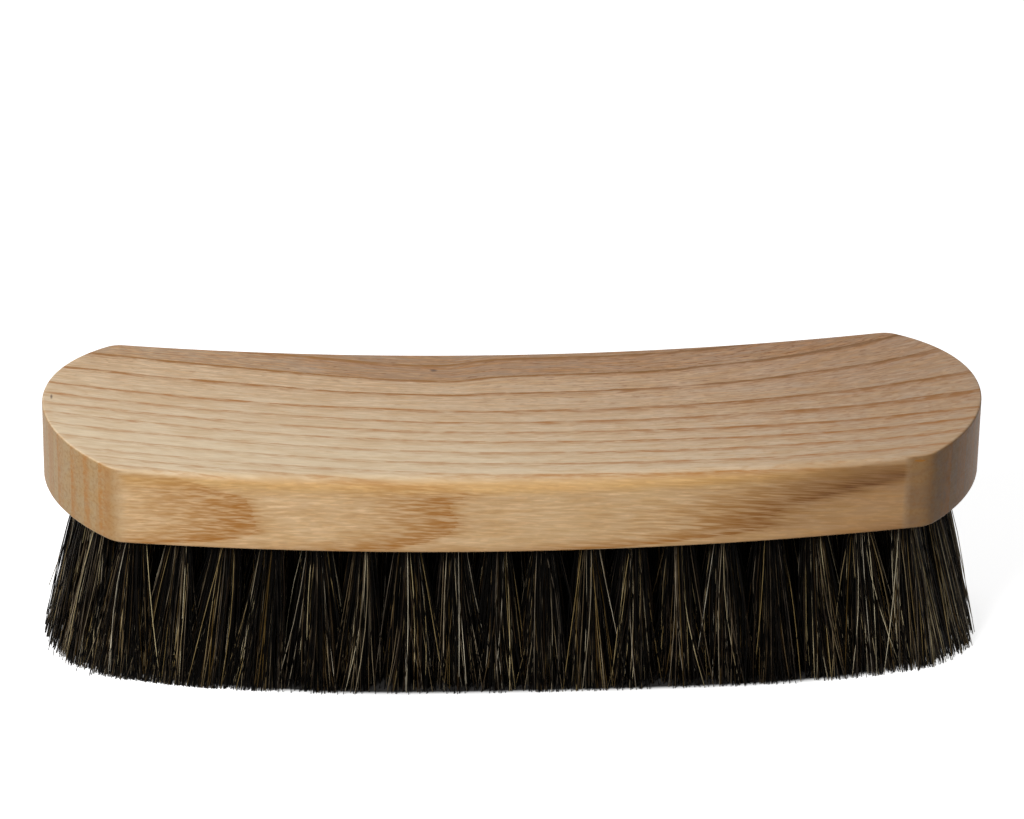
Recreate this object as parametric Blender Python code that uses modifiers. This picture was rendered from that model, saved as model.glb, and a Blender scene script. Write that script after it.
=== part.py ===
"""Horsehair bristle brush: a saddle-curved wooden block with rows of staple-set tufts.

Sizes are in metres. The origin is the middle of the flat that the lowest bristle tips stand on,
+X runs along the length, +Y points to the back and +Z up. Every piece is first modelled straight,
as the blank is milled, with the underside level, and then its points are lifted to the saddle curve.
"""

import math

import bmesh
import bpy
import numpy as np

# The wooden block
BLOCK_LENGTH = 0.203
BLOCK_WIDTH = 0.0635
BLOCK_THICKNESS = 0.0172
END_BULGE = 0.0154
CORNER_RADIUS = 0.0055
SADDLE_RISE = 0.0057
TOP_ROUNDING = 0.0036
EDGE_EASE = 0.0008

# The field of tufts: staggered rows, a middle one and so many on each side of it
SIDE_ROWS = 3
SIDE_MARGIN = 0.007
END_MARGIN = 0.0105
FIELD_END_RADIUS = 0.0385
TUFT_PITCH = 0.0092
SECTIONS = ("left", "centre", "right")

# The slice of backing that carries each section of a row, seated in a groove of the block
SLICE_DEPTH = 0.003
SLICE_SPACING = 0.003
SEAT_CLEARANCE = 0.0003

# The bristles: each strand stands for a lock of its tuft's hairs
BRISTLE_LENGTH = 0.033
FLAT_CUT = 0.0005
STRANDS_IN_TUFT = 3
ROOT_DEPTH = 0.0012
ROOT_MARGIN = 0.00015
TIP_CLEARANCE = 0.0006
ROOT_STRAND_SHARE = 0.45
TIP_STRAND_SHARE = 0.24
SIDE_FLARE_SHARE = 0.15
BEND_HEIGHT_SHARE = 0.55
BEND_SPREAD_SHARE = 0.46

# How finely the curves are drawn
CROSS_CUTS = 15
END_STEPS = 18
CORNER_STEPS = 4
SLICE_END_STEPS = 6
ROUNDING_STEPS = 4
STRAND_SIDES = 3
TUFTS_PER_CUT = 2

# Working distances of the modelling, which leave no mark on the brush
CUT_OVERRUN = 0.002
WELD_DISTANCE = 0.00001

# Sizes that follow from the ones above
HALF_LENGTH = BLOCK_LENGTH / 2
HALF_WIDTH = BLOCK_WIDTH / 2
END_RADIUS = (HALF_WIDTH**2 + END_BULGE**2) / (2 * END_BULGE)
END_CENTRE = HALF_LENGTH - END_RADIUS
CORNER_CENTRE_Y = HALF_WIDTH - CORNER_RADIUS
CORNER_CENTRE_X = END_CENTRE + math.sqrt((END_RADIUS - CORNER_RADIUS) ** 2 - CORNER_CENTRE_Y**2)
SADDLE_RADIUS = (HALF_LENGTH**2 + SADDLE_RISE**2) / (2 * SADDLE_RISE)
UNDERSIDE = BRISTLE_LENGTH - FLAT_CUT
TOP = UNDERSIDE + BLOCK_THICKNESS
ROW_PITCH = (HALF_WIDTH - SIDE_MARGIN) / SIDE_ROWS
FIELD_END_CENTRE = HALF_LENGTH - END_MARGIN - FIELD_END_RADIUS
SLICE_WIDTH = ROW_PITCH - SLICE_SPACING
ROOT_REACH = SLICE_WIDTH / 2 - ROOT_MARGIN
ROOT_RADIUS = ROOT_REACH * ROOT_STRAND_SHARE
ROOT_SPREAD = ROOT_REACH - ROOT_RADIUS
TIP_REACH = (min(ROW_PITCH * (1 + SIDE_FLARE_SHARE), TUFT_PITCH) - TIP_CLEARANCE) / 2
TIP_RADIUS = TIP_REACH * TIP_STRAND_SHARE
TIP_SPREAD = TIP_REACH - TIP_RADIUS

WOOD_COLOUR = (0.58, 0.42, 0.27, 1.0)
HAIR_COLOUR = (0.035, 0.025, 0.018, 1.0)


def clear_scene():
    """Remove every object of the open scene."""
    for old in list(bpy.data.objects):
        bpy.data.objects.remove(old, do_unlink=True)


def add_collection(name, hidden=False):
    """Add a collection to the scene."""
    collection = bpy.data.collections.new(name)
    collection.hide_render = hidden
    bpy.context.scene.collection.children.link(collection)
    return collection


def finish_material(name, colour, roughness):
    """Material with one Principled BSDF, for a surface that isn't metal."""
    material = bpy.data.materials.new(name)
    material.use_nodes = True
    material.diffuse_color = colour
    shader = material.node_tree.nodes["Principled BSDF"]
    shader.inputs["Base Color"].default_value = colour
    shader.inputs["Roughness"].default_value = roughness
    shader.inputs["Metallic"].default_value = 0.0
    return material


def arc(centre_x, centre_y, radius, start, end, steps):
    """Points along an arc between two angles, both ends included."""
    angles = np.linspace(start, end, steps + 1)
    return [(centre_x + radius * math.cos(a), centre_y + radius * math.sin(a)) for a in angles]


def block_outline():
    """Plan of the block: straight sides, round ends and softened corners, seen from above."""
    join = math.atan2(CORNER_CENTRE_Y, CORNER_CENTRE_X - END_CENTRE)
    corner = arc(CORNER_CENTRE_X, CORNER_CENTRE_Y, CORNER_RADIUS, math.pi / 2, join, CORNER_STEPS)
    end = arc(END_CENTRE, 0, END_RADIUS, join, -join, END_STEPS)
    right = corner + end[1:-1] + [(x, -y) for x, y in reversed(corner)]
    left = [(-x, -y) for x, y in right]
    return right + left


def slot_outline(first_x, last_x, y, half_width):
    """Long slot with half-round ends, round the tufts from first_x to last_x."""
    right = arc(last_x, y, half_width, math.pi / 2, -math.pi / 2, SLICE_END_STEPS)
    left = arc(first_x, y, half_width, -math.pi / 2, -3 * math.pi / 2, SLICE_END_STEPS)
    return right + left


def add_object(name, mesh, collection):
    """Object that holds a mesh, in a collection."""
    made = bpy.data.objects.new(name, mesh)
    collection.objects.link(made)
    return made


def evaluated_mesh(made):
    """Mesh of an object with its modifiers or its curve's extrusion worked out."""
    graph = bpy.context.evaluated_depsgraph_get()
    return bpy.data.meshes.new_from_object(made.evaluated_get(graph))


def cut_across(shape, cuts):
    """Divide a straight shape at places along the length, so that its faces can follow the saddle."""
    for cut_x in cuts:
        everything = shape.verts[:] + shape.edges[:] + shape.faces[:]
        bmesh.ops.bisect_plane(
            shape, geom=everything, dist=WELD_DISTANCE, plane_co=(cut_x, 0, 0), plane_no=(1, 0, 0)
        )


def add_prism(name, outline, bottom, top, cuts, collection):
    """Straight solid of a flat outline between two heights, divided at the cuts along its length."""
    curve = bpy.data.curves.new(name, "CURVE")
    curve.dimensions = "2D"
    curve.fill_mode = "BOTH"
    curve.extrude = (top - bottom) / 2
    spline = curve.splines.new("POLY")
    spline.points.add(len(outline) - 1)
    spline.use_cyclic_u = True
    for point, (x, y) in zip(spline.points, outline):
        point.co = (x, y, 0, 1)
    drawn = add_object(name, curve, collection)
    mesh = evaluated_mesh(drawn)
    bpy.data.objects.remove(drawn)
    shape = bmesh.new()
    shape.from_mesh(mesh)
    bmesh.ops.remove_doubles(shape, verts=shape.verts, dist=WELD_DISTANCE)
    bmesh.ops.dissolve_limit(
        shape, angle_limit=math.radians(0.1), verts=shape.verts, edges=shape.edges
    )
    bmesh.ops.translate(shape, verts=shape.verts, vec=(0, 0, (bottom + top) / 2))
    cut_across(shape, cuts)
    bmesh.ops.recalc_face_normals(shape, faces=shape.faces)
    shape.to_mesh(mesh)
    shape.free()
    return add_object(name, mesh, collection)


def join_meshes(name, parts, collection):
    """One object out of several that don't touch."""
    shape = bmesh.new()
    for part in parts:
        shape.from_mesh(part.data)
        bpy.data.objects.remove(part)
    mesh = bpy.data.meshes.new(name)
    shape.to_mesh(mesh)
    shape.free()
    return add_object(name, mesh, collection)


def combine(made, other, operation, solver="EXACT"):
    """Boolean modifier of one object by another."""
    boolean = made.modifiers.new(operation.lower(), "BOOLEAN")
    boolean.operation = operation
    boolean.solver = solver
    boolean.object = other


def saddle_lift(x):
    """Height of the saddle curve over the middle of the block, at a place along the length."""
    return SADDLE_RADIUS - np.sqrt(SADDLE_RADIUS**2 - x**2)


def lift_to_saddle(name, straight, material, collection):
    """Finished piece: the straight one's evaluated mesh, lifted along the saddle and flat at the floor."""
    mesh = evaluated_mesh(straight)
    shape = bmesh.new()
    shape.from_mesh(mesh)
    bmesh.ops.remove_doubles(shape, verts=shape.verts, dist=WELD_DISTANCE)
    bmesh.ops.triangulate(shape, faces=shape.faces, quad_method="ALTERNATE")
    shape.to_mesh(mesh)
    shape.free()
    points = np.empty(len(mesh.vertices) * 3)
    mesh.vertices.foreach_get("co", points)
    points = points.reshape(-1, 3)
    points[:, 2] = np.maximum(points[:, 2] + saddle_lift(points[:, 0]), 0)
    mesh.vertices.foreach_set("co", points.ravel())
    mesh.name = name
    mesh.materials.clear()
    mesh.materials.append(material)
    mesh.shade_smooth()
    mesh.set_sharp_from_angle(angle=math.radians(30))
    mesh.update()
    bpy.data.objects.remove(straight)
    return add_object(name, mesh, collection)


def grow_rounding(mesh):
    """Widen the eased front top edge to a round-over, fullest at mid length and fading out at the corners.

    Each point of the eased edge moves away from the edge's line by the growth of the radius there.
    """
    for vertex in mesh.vertices:
        in_from_side = HALF_WIDTH + vertex.co.y
        down_from_top = TOP - vertex.co.z
        on_edge = max(in_from_side, down_from_top) < EDGE_EASE + WELD_DISTANCE
        if on_edge and abs(vertex.co.x) < CORNER_CENTRE_X:
            along = vertex.co.x / CORNER_CENTRE_X
            growth = 1 + (TOP_ROUNDING / EDGE_EASE - 1) * (1 - along**2)
            vertex.co.y = in_from_side * growth - HALF_WIDTH
            vertex.co.z = TOP - down_from_top * growth


def straight_block(cutters):
    """The milled blank with its rounded edges, before the grooves are cut."""
    cuts = np.linspace(-CORNER_CENTRE_X, CORNER_CENTRE_X, CROSS_CUTS)
    sharp = add_prism("sharp_blank", block_outline(), UNDERSIDE, TOP, cuts, cutters)
    bevel = sharp.modifiers.new("eased_edges", "BEVEL")
    bevel.limit_method = "ANGLE"
    bevel.angle_limit = math.radians(60)
    bevel.width = EDGE_EASE
    bevel.segments = ROUNDING_STEPS
    mesh = evaluated_mesh(sharp)
    bpy.data.objects.remove(sharp)
    grow_rounding(mesh)
    return add_object("block_blank", mesh, cutters)


def row_sections():
    """Tuft places of every section: its name, its row's y and the x of each tuft."""
    middle_tufts = round(2 * (HALF_LENGTH - END_MARGIN) / TUFT_PITCH) + 1
    sections = []
    for row in range(-SIDE_ROWS, SIDE_ROWS + 1):
        y = row * ROW_PITCH
        tufts = middle_tufts - abs(row)
        reach = FIELD_END_CENTRE + math.sqrt(FIELD_END_RADIUS**2 - y**2)
        places = np.linspace(-reach, reach, tufts)
        side = round(tufts / len(SECTIONS))
        groups = np.split(places, (side, tufts - side))
        for section, group in zip(SECTIONS, groups):
            sections.append((f"tufts_row_{row + SIDE_ROWS + 1}_{section}", y, group))
    return sections


def slice_cuts(places):
    """Places midway between neighbouring tufts where a slice is divided, clear of the strands' roots."""
    return ((places[1:] + places[:-1]) / 2)[::TUFTS_PER_CUT]


def strand_rings(tuft_x, tuft_y, turn):
    """Corner points of one strand at its root, its middle and its tip.

    The tuft leans out square to the curved underside, its strands part towards the tips.
    """
    bend = BEND_HEIGHT_SHARE * BRISTLE_LENGTH
    rings = []
    for below, spread_share in ((-ROOT_DEPTH, 0), (bend, BEND_SPREAD_SHARE), (BRISTLE_LENGTH, 1)):
        lean_x = tuft_x * below / SADDLE_RADIUS
        lean_y = tuft_y * SIDE_FLARE_SHARE * below / BRISTLE_LENGTH
        spread = ROOT_SPREAD + (TIP_SPREAD - ROOT_SPREAD) * spread_share
        radius = ROOT_RADIUS + (TIP_RADIUS - ROOT_RADIUS) * spread_share
        centre_x = tuft_x + lean_x + spread * math.cos(turn)
        centre_y = tuft_y + lean_y + spread * math.sin(turn)
        corners = arc(centre_x, centre_y, radius, turn, turn + 2 * math.pi, STRAND_SIDES)[:-1]
        rings.append([(x, y, UNDERSIDE - below) for x, y in corners])
    return rings


def add_strand(shape, rings):
    """Loft one closed strand through its rings of corners, with its axis down and its faces out."""
    loops = [[shape.verts.new(corner) for corner in ring] for ring in rings]
    for upper, lower in zip(loops, loops[1:]):
        for corner in range(STRAND_SIDES):
            following = (corner + 1) % STRAND_SIDES
            shape.faces.new((upper[corner], lower[corner], lower[following], upper[following]))
    shape.faces.new(loops[0])
    shape.faces.new(reversed(loops[-1]))


def tuft_strands(name, y, places, collection):
    """All strands of one section of a row, three to a tuft, turned about from tuft to tuft."""
    shape = bmesh.new()
    for number, x in enumerate(places):
        first_turn = math.pi * (number % 2) / STRANDS_IN_TUFT
        for strand in range(STRANDS_IN_TUFT):
            turn = first_turn + 2 * math.pi * strand / STRANDS_IN_TUFT
            add_strand(shape, strand_rings(x, y, turn))
    mesh = bpy.data.meshes.new(name)
    shape.to_mesh(mesh)
    shape.free()
    return add_object(name, mesh, collection)


def build_tufts(parts, cutters, material):
    """Every section of tufts: strands united with the slice of backing that carries them."""
    for name, y, places in row_sections():
        outline = slot_outline(places[0], places[-1], y, SLICE_WIDTH / 2)
        top = UNDERSIDE + SLICE_DEPTH
        slice_blank = add_prism(f"{name}_slice", outline, UNDERSIDE, top, slice_cuts(places), cutters)
        strands = tuft_strands(f"{name}_strands", y, places, cutters)
        # EXACT bridges the small faces between neighbouring roots badly, and both meshes are closed.
        combine(slice_blank, strands, "UNION", solver="MANIFOLD")
        lift_to_saddle(name, slice_blank, material, parts)
        bpy.data.objects.remove(strands)


def build_block(parts, cutters, material):
    """The block, with a groove for each slice of backing."""
    grooves = []
    for name, y, places in row_sections():
        outline = slot_outline(places[0], places[-1], y, SLICE_WIDTH / 2 + SEAT_CLEARANCE)
        mouth = UNDERSIDE - CUT_OVERRUN
        ceiling = UNDERSIDE + SLICE_DEPTH + SEAT_CLEARANCE
        grooves.append(add_prism(f"{name}_groove", outline, mouth, ceiling, slice_cuts(places), cutters))
    groove_cutter = join_meshes("grooves", grooves, cutters)
    groove_cutter.display_type = "WIRE"
    groove_cutter.hide_render = True
    block = straight_block(cutters)
    combine(block, groove_cutter, "DIFFERENCE")
    lift_to_saddle("block", block, material, parts)
    bpy.data.objects.remove(groove_cutter)


def main():
    """Build the brush."""
    clear_scene()
    parts = add_collection("horsehair_bristle_brush")
    cutters = add_collection("cutters", hidden=True)
    wood = finish_material("bare_ash_wood", WOOD_COLOUR, 0.6)
    hair = finish_material("horsehair", HAIR_COLOUR, 0.45)
    build_block(parts, cutters, wood)
    build_tufts(parts, cutters, hair)


main()
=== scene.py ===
"""Looks of a horsehair bristle brush: an oiled ash block with tufts of mixed horsehair set in drilled holes.

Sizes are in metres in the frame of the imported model: +X along the block, +Y to the back, +Z up, the floor
at z = 0 under the lowest tips. The block and each section of hair replace the CAD solid of the same part.
"""

import logging
import math
from collections.abc import Callable, Sequence
from dataclasses import dataclass
from enum import Enum
from functools import partial, reduce
from typing import Any

import bmesh
import bpy
import numpy as np
from mathutils import Matrix, Vector
from numpy.typing import NDArray


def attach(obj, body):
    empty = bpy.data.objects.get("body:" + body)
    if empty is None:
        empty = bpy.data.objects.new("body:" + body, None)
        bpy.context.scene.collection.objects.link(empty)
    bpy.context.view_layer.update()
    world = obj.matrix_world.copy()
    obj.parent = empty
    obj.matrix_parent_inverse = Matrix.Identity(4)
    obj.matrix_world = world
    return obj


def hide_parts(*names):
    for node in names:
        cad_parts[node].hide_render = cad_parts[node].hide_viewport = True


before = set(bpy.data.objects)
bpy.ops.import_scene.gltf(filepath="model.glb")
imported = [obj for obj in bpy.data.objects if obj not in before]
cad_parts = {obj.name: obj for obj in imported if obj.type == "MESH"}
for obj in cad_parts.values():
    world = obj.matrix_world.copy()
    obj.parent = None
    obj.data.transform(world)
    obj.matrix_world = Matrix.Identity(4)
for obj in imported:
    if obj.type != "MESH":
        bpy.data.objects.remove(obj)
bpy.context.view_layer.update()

logging.basicConfig(level=logging.INFO, format="%(message)s")
LOG = logging.getLogger("brush")

Floats = NDArray[np.float64]
Faces = NDArray[np.int64]
Piece = bpy.types.Object
Material = bpy.types.Material
Socket = bpy.types.NodeSocket
Sockets = dict[str, Socket]
# A colour, worked out by nodes or given in hex digits.
Tone = Socket | str
# Adds a node to one tree: add_node, with its tree given.
Adder = Callable[..., Socket]
Triple = tuple[float, float, float]
# Where something starts and ends and, unless they are 0 and 1, its levels there.
Span = tuple[float, ...]
# A factor and what is added.
Slope = tuple[float, float]
# Positions along a ramp, from low to high, each with a grey level or a hex colour.
Stops = Sequence[tuple[float, float | str]]

MM = 0.001
MERGE_DISTANCE = 1e-6
# Keeps a power of zero from running to infinity.
TINY = 1e-9
WHITE = "ffffff"
BODY = "root"
# Numbers of a Mix node's inputs: the share of the second, two levels and two colours.
SHARE, LEVEL_A, LEVEL_B, COLOUR_A, COLOUR_B = 0, 2, 3, 6, 7


class Slot(Enum):
    """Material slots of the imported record."""

    WOOD = "wood"
    HAIR = "horsehair"


class Section(Enum):
    """Thirds of a row of tufts, counted along +X."""

    LEFT = "left"
    CENTRE = "centre"
    RIGHT = "right"


def linear(hex_colour: str) -> tuple[float, float, float, float]:
    """Turn an sRGB colour to linear light.

    Args:
        hex_colour: Six hex digits, as in "c8a27a".

    Returns:
        Linear red, green and blue, with an alpha of one.
    """
    parts = [int(hex_colour[i : i + 2], 16) / 255 for i in (0, 2, 4)]
    red, green, blue = (p / 12.92 if p <= 0.04045 else ((p + 0.055) / 1.055) ** 2.4 for p in parts)
    return (red, green, blue, 1.0)


def feed(node: bpy.types.Node, inputs: Sequence[Any] | dict[int | str, Any]) -> None:
    """Feed inputs of a node, each with a socket, a constant or a hex colour.

    Args:
        node: Node that is fed.
        inputs: What feeds its inputs, in order, or in a dictionary by number or name.
    """
    for key, value in inputs.items() if isinstance(inputs, dict) else enumerate(inputs):
        if isinstance(value, dict):
            feed(node, value)
        elif isinstance(value, Socket):
            node.id_data.links.new(value, node.inputs[key])
        else:
            node.inputs[key].default_value = linear(value) if isinstance(value, str) else value


def add_node(
    tree: bpy.types.NodeTree, kind: str, *inputs: Any, stops: Stops = (), **settings: Any
) -> Socket:
    """Add a node, set its properties and feed its inputs.

    Args:
        tree: Node tree that gets the node.
        kind: Blender's name of the node type, without "ShaderNode", or a Math node's operation.
        *inputs: What feeds its inputs, in order, or in a dictionary by number or name.
        stops: Stops of its colour ramp.
        **settings: Properties of the node.

    Returns:
        The first of the node's outputs that is in use.
    """
    if kind.isupper():
        kind, settings = "Math", {**settings, "operation": kind}
    node = tree.nodes.new("ShaderNode" + kind)
    for name, value in settings.items():
        setattr(node, name, value)
    feed(node, inputs)
    for number, (position, tone) in enumerate(stops):
        elements = node.color_ramp.elements
        element = elements[number] if number < len(elements) else elements.new(position)
        element.position = position
        element.color = linear(tone) if isinstance(tone, str) else (tone, tone, tone, 1)
    return next(output for output in node.outputs if output.enabled)


def coat(add: Adder, tone: Tone, *layers: tuple[Tone, ...]) -> Tone:
    """Lay colours over a tone in turn, each as thickly as the product of its levels.

    Args:
        add: Adds a node to the material.
        tone: What lies below.
        *layers: For each its colour, then its levels from 0 to 1.

    Returns:
        The coated tone.
    """
    for colour, *levels in layers:
        share = reduce(partial(add, "MULTIPLY"), levels)
        tone = add("Mix", {SHARE: share, COLOUR_A: tone, COLOUR_B: colour}, data_type="RGBA")
    return tone


def seen_directly(add: Adder) -> Socket:
    """Tell what the camera sees, straight or in a reflection, from the light that falls on the brush.

    Args:
        add: Adds a node to the material or the world.

    Returns:
        Socket of a level, one for what is seen and zero for the light.
    """
    path = add("LightPath").node.outputs
    seen = path["Is Camera Ray"]
    for ray in ("Is Glossy Ray", "Is Transmission Ray"):
        seen = add("MAXIMUM", seen, path[ray])
    return seen


def start_material(name: str) -> tuple[Material, Adder]:
    """Start a material, with a Principled shader.

    Args:
        name: Name of the material.

    Returns:
        The material, and what adds a node to it.
    """
    material = bpy.data.materials.new(name)
    material.use_nodes = True
    return material, partial(add_node, material.node_tree)


def smooth_step(values: Floats, low: float, high: float) -> Floats:
    """Rise smoothly from 0 at low to 1 at high, as 3t squared less 2t cubed."""
    share = np.clip((values - low) / (high - low), 0, 1)
    return share * share * (3 - 2 * share)


def add_piece(name: str, points: Floats, faces: Faces) -> Piece:
    """Make a mesh object out of an array of points and an array of faces.

    Args:
        name: Name of the piece.
        points: One row of x, y and z for each vertex.
        faces: One row of three or four vertex numbers for each face.

    Returns:
        The object, linked to the scene and with smooth faces.
    """
    mesh = bpy.data.meshes.new(name)
    mesh.vertices.add(len(points))
    mesh.vertices.foreach_set("co", points.astype(np.float32).ravel())
    mesh.loops.add(faces.size)
    mesh.loops.foreach_set("vertex_index", faces.astype(np.int32).ravel())
    mesh.polygons.add(len(faces))
    mesh.polygons.foreach_set("loop_start", np.arange(0, faces.size, faces.shape[1], dtype=np.int32))
    mesh.update(calc_edges=True)
    mesh.validate()
    mesh.shade_smooth()
    made = bpy.data.objects.new(name, mesh)
    bpy.context.scene.collection.objects.link(made)
    return made


def set_attribute(piece: Piece, name: str, values: Floats) -> None:
    """Store one number or one vector for each vertex, which the piece's material reads by name.

    Args:
        piece: Piece that gets the attribute.
        name: Name of the attribute.
        values: A number, or a row of three, for each vertex.
    """
    kind, key = ("FLOAT", "value") if values.ndim == 1 else ("FLOAT_VECTOR", "vector")
    attribute = piece.data.attributes.new(name, kind, "POINT")
    attribute.data.foreach_set(key, values.astype(np.float32).ravel())


def dress(piece: Piece, material: Material, slot: Slot, *nodes: str) -> None:
    """Give a piece its material, and let it ride on the brush in place of CAD nodes.

    Args:
        piece: Piece to dress.
        material: Its material.
        slot: Material slot of the record; not used.
        *nodes: Names of the CAD nodes that it replaces.
    """
    piece.data.materials.clear()
    piece.data.materials.append(material)
    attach(piece, BODY)
    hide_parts(*nodes)
    LOG.info("%s: %d vertices, %d faces", piece.name, len(piece.data.vertices), len(piece.data.polygons))


@dataclass(frozen=True)
class GrowthRings:
    """Growth rings of the board that the block is cut from, as a field in space.

    The rings stand on edge and run along the block. Lengths are in millimetres, because the
    pattern is laid out on the real block.
    """

    edges: tuple[float, ...] = (
        -43, -39, -35.2, -32.05, -28.5, -23.5, -18.1, -12.9, -8.3, -3.4, 2.2, 11.7, 20.6, 29.5, 38
    )
    lean: float = 5.2
    lean_start: float = -8
    lean_reach: float = 69
    lean_power: float = 1.25
    lean_less: float = 0.12
    lean_less_across: Span = (5, 22)
    fan: float = 0.19
    fan_start: float = 30
    fan_reach: float = 48
    fan_power: float = 1.5
    fan_middle: float = -7
    fan_front: float = -3
    sag: float = -3.0
    sag_start: float = 3
    sag_reach: float = 17
    sag_grows: Span = (-25, 85)
    sag_fades: Span = (72, 100)
    sag_fade: float = 0.3
    knot_x: float = -15
    knot_pinch: float = 2.6
    pinch_left: float = 30
    pinch_right: float = 9
    pinch_start: float = 4
    pinch_reach: float = 15
    pinch_most: float = 1.3

    def across(self, x: Floats, y: Floats) -> Floats:
        """Work out each point's place across the rings, as the y of its ring at mid length.

        It is y less the lean at the left, the fanning out at the right and the sag of the front
        rings, and plus the pinch beside the knot.

        Args:
            x: Place along the block, in millimetres.
            y: Place across the block, in millimetres.

        Returns:
            Place across the rings, in millimetres.
        """
        lean = self.lean * (np.clip(self.lean_start - x, 0, None) / self.lean_reach) ** self.lean_power
        lean *= 1 - self.lean_less * smooth_step(y, *self.lean_less_across)
        fan = self.fan * (np.clip(x - self.fan_start, 0, None) / self.fan_reach) ** self.fan_power
        fan *= np.clip(y - self.fan_middle, self.fan_front, None)
        sag = self.sag * np.clip((self.sag_start - y) / self.sag_reach, 0, 1)
        sag *= smooth_step(x, *self.sag_grows) - self.sag_fade * smooth_step(x, *self.sag_fades)
        width = np.where(x < self.knot_x, self.pinch_left, self.pinch_right)
        pinch = self.knot_pinch * np.clip((y - self.pinch_start) / self.pinch_reach, 0, self.pinch_most)
        return y - lean - fan - sag + pinch * np.exp(-(((x - self.knot_x) / width) ** 2))


@dataclass(frozen=True)
class SideFlames:
    """Flames on the long sides, where the board is sawn nearly along its growth rings.

    Each flame ends in a sharp edge towards +X and fades out towards -X. Its edge is given as a few
    depths under the top and the x at each. Lengths are in millimetres, laid out one by one.
    """

    edges: tuple[tuple[tuple[float, ...], tuple[float, ...]], ...] = (
        ((0, 1.1, 5.2, 8, 12.7, 14, 15.7, 17.2),
         (-84, -74, -58.5, -57.5, -56, -58, -67, -82)),
        ((0, 1.1, 2.8, 4, 5.7, 7.6, 9.4, 11.4, 13.2, 16.5, 17.2),
         (-40, -26, -12, -11.5, -16, -15.8, -13.8, -14.4, -16.5, -28, -36)),
        ((0, 0.8, 1.4, 2.4, 3.6, 6.5, 9, 11.5, 14.2, 15, 16.5, 17.2),
         (30, 50, 74, 86, 84, 71, 56.5, 52.6, 52, 45, 24, 8)),
    )
    reach: float = 110

    def number(self, x: Floats, below: Floats) -> Floats:
        """Count the flames on the way along a side, with the whole numbers at their edges.

        Between two edges at the same depth the number grows evenly with x.

        Args:
            x: Place along the side, in millimetres.
            below: Depth under the curved top, in millimetres.

        Returns:
            Number of the flame, from 0 at the left end to 4 at the right end.
        """
        stops = [-self.reach, *(np.interp(below, *edge) for edge in self.edges), self.reach]
        number = np.zeros_like(x)
        for low, high in zip(stops, stops[1:]):
            number += np.clip((x - low) / (high - low), 0, 1)
        return number


@dataclass(frozen=True)
class Streaks:
    """Noise with a feature size along X, Y and Z in millimetres, and the span that makes it a level."""

    size: Triple
    detail: float = 2.0
    span: Span = (0.0, 1.0)

    def noise(self, add: Adder, place: Socket) -> Socket:
        """Work out the noise at a place.

        Args:
            add: Adds a node to the material.
            place: Socket of the place.

        Returns:
            Socket of the noise, from about 0.3 to 0.7.
        """
        rate = tuple(1 / (size * MM) for size in self.size)
        scaled = add("VectorMath", place, rate, operation="MULTIPLY")
        return add("TexNoise", {"Vector": scaled, "Scale": 1.0, "Detail": self.detail})

    def level(self, add: Adder, place: Socket) -> Socket:
        """Level of the noise at a place."""
        return add("MapRange", self.noise(add, place), *self.span)


@dataclass(frozen=True)
class Mark:
    """Small soft-edged mark: its middle and its half size along each axis."""

    centre: Triple
    half_size: Triple
    # From the middle to past the edge, in half sizes.
    span: Span = (0.4, 1.5, 0.8, 0.0)

    def level(self, add: Adder, place: Socket) -> Socket:
        """Work out the level of the mark at a place, by its distance from the middle in half sizes.

        Args:
            add: Adds a node to the material.
            place: Socket of the place.

        Returns:
            Socket of the level.
        """
        rate = tuple(1 / size for size in self.half_size)
        away = add("VectorMath", place, self.centre, operation="SUBTRACT")
        away = add("VectorMath", away, rate, operation="MULTIPLY")
        away = add("VectorMath", away, operation="LENGTH")
        return add("MapRange", away, *self.span)


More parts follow.
